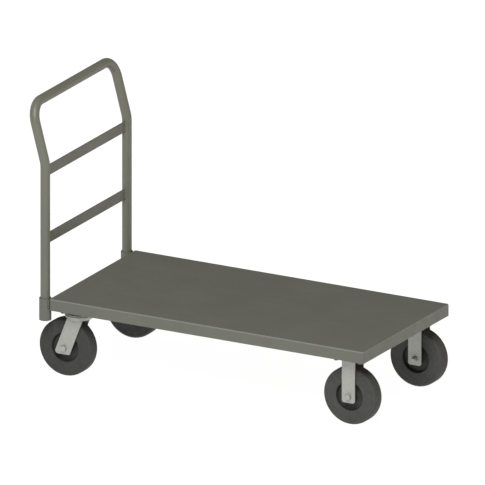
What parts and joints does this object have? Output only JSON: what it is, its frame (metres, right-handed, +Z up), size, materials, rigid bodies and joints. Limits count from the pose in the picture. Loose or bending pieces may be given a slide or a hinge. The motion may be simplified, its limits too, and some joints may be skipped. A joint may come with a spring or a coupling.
{
  "type": "platform cart",
  "caption": "Steel platform cart: flanged deck on fixed and swivel casters, with a bent-pipe push handle and flat crossbars that lifts out of sockets at the rear.",
  "frame": {"origin": "on the floor, under the middle of the whole cart's box", "axes": "+X along the deck towards the fixed casters, away from the handle; +Y to the left of a person pushing; +Z up"},
  "size_m": [1.3366, 0.6206, 0.9781],
  "materials": {
    "frame_paint": "satin grey-green enamel over steel",
    "caster_zinc": "dull zinc plate",
    "bright_steel": "bright zinc-plated and ground steel",
    "wheel_rubber": "matt grey-black solid rubber",
    "wheel_core": "dark grey moulded core"
  },
  "bodies": {
    "platform": {"deck_pan": "frame_paint", "front_bolster": "frame_paint", "rear_bolster": "frame_paint", "deck_stiffener": "frame_paint", "handle_socket_left": "frame_paint", "handle_socket_right": "frame_paint", "socket_stops": "frame_paint", "socket_welds": "frame_paint", "caster_bolts": "bright_steel", "caster_lock_washers": "caster_zinc", "caster_weld_nuts": "caster_zinc", "rigid_plate_left": "caster_zinc", "rigid_plate_right": "caster_zinc", "rigid_fork_left": "caster_zinc", "rigid_fork_right": "caster_zinc", "rigid_axle_bolts": "bright_steel", "rigid_axle_nuts": "bright_steel", "rigid_axle_sleeves": "bright_steel", "rigid_hub_washers": "caster_zinc", "swivel_plate_left": "caster_zinc", "swivel_plate_right": "caster_zinc", "kingpin_left": "bright_steel", "kingpin_right": "bright_steel", "kingpin_nut_left": "bright_steel", "kingpin_nut_right": "bright_steel"},
    "handle": {"handle_tube": "frame_paint", "upper_crossbar": "frame_paint", "lower_crossbar": "frame_paint", "crossbar_welds": "frame_paint"},
    "swivel_left": {"swivel_fork_left": "caster_zinc", "load_balls_left": "bright_steel", "thrust_balls_left": "bright_steel", "grease_fitting_left": "bright_steel", "swivel_axle_bolt_left": "bright_steel", "swivel_axle_nut_left": "bright_steel", "swivel_axle_sleeve_left": "bright_steel", "swivel_hub_washers_left": "caster_zinc"},
    "swivel_right": {"swivel_fork_right": "caster_zinc", "load_balls_right": "bright_steel", "thrust_balls_right": "bright_steel", "grease_fitting_right": "bright_steel", "swivel_axle_bolt_right": "bright_steel", "swivel_axle_nut_right": "bright_steel", "swivel_axle_sleeve_right": "bright_steel", "swivel_hub_washers_right": "caster_zinc"},
    "wheel_front_left": {"tyre_front_left": "wheel_rubber", "wheel_core_front_left": "wheel_core", "roller_bearing_front_left": "bright_steel"},
    "wheel_front_right": {"tyre_front_right": "wheel_rubber", "wheel_core_front_right": "wheel_core", "roller_bearing_front_right": "bright_steel"},
    "wheel_rear_left": {"tyre_rear_left": "wheel_rubber", "wheel_core_rear_left": "wheel_core", "roller_bearing_rear_left": "bright_steel"},
    "wheel_rear_right": {"tyre_rear_right": "wheel_rubber", "wheel_core_rear_right": "wheel_core", "roller_bearing_rear_right": "bright_steel"}
  },
  "joints": [
    {"name": "handle_lift", "type": "slide", "parent": "platform", "child": "handle", "axis": [0, 0, 1], "range_m": [0, 0.09]},
    {"name": "swivel_left_turn", "type": "hinge", "parent": "platform", "child": "swivel_left", "pos_m": [-0.4937, 0.235, 0.225], "axis": [0, 0, 1], "continuous": true},
    {"name": "swivel_right_turn", "type": "hinge", "parent": "platform", "child": "swivel_right", "pos_m": [-0.4937, -0.235, 0.225], "axis": [0, 0, 1], "continuous": true},
    {"name": "wheel_front_left_spin", "type": "hinge", "parent": "platform", "child": "wheel_front_left", "pos_m": [0.5667, 0.235, 0.1016], "axis": [0, 1, 0], "continuous": true},
    {"name": "wheel_front_right_spin", "type": "hinge", "parent": "platform", "child": "wheel_front_right", "pos_m": [0.5667, -0.235, 0.1016], "axis": [0, 1, 0], "continuous": true},
    {"name": "wheel_rear_left_spin", "type": "hinge", "parent": "swivel_left", "child": "wheel_rear_left", "pos_m": [-0.5373, 0.235, 0.1016], "axis": [0, 1, 0], "continuous": true},
    {"name": "wheel_rear_right_spin", "type": "hinge", "parent": "swivel_right", "child": "wheel_rear_right", "pos_m": [-0.5373, -0.235, 0.1016], "axis": [0, 1, 0], "continuous": true}
  ]
}
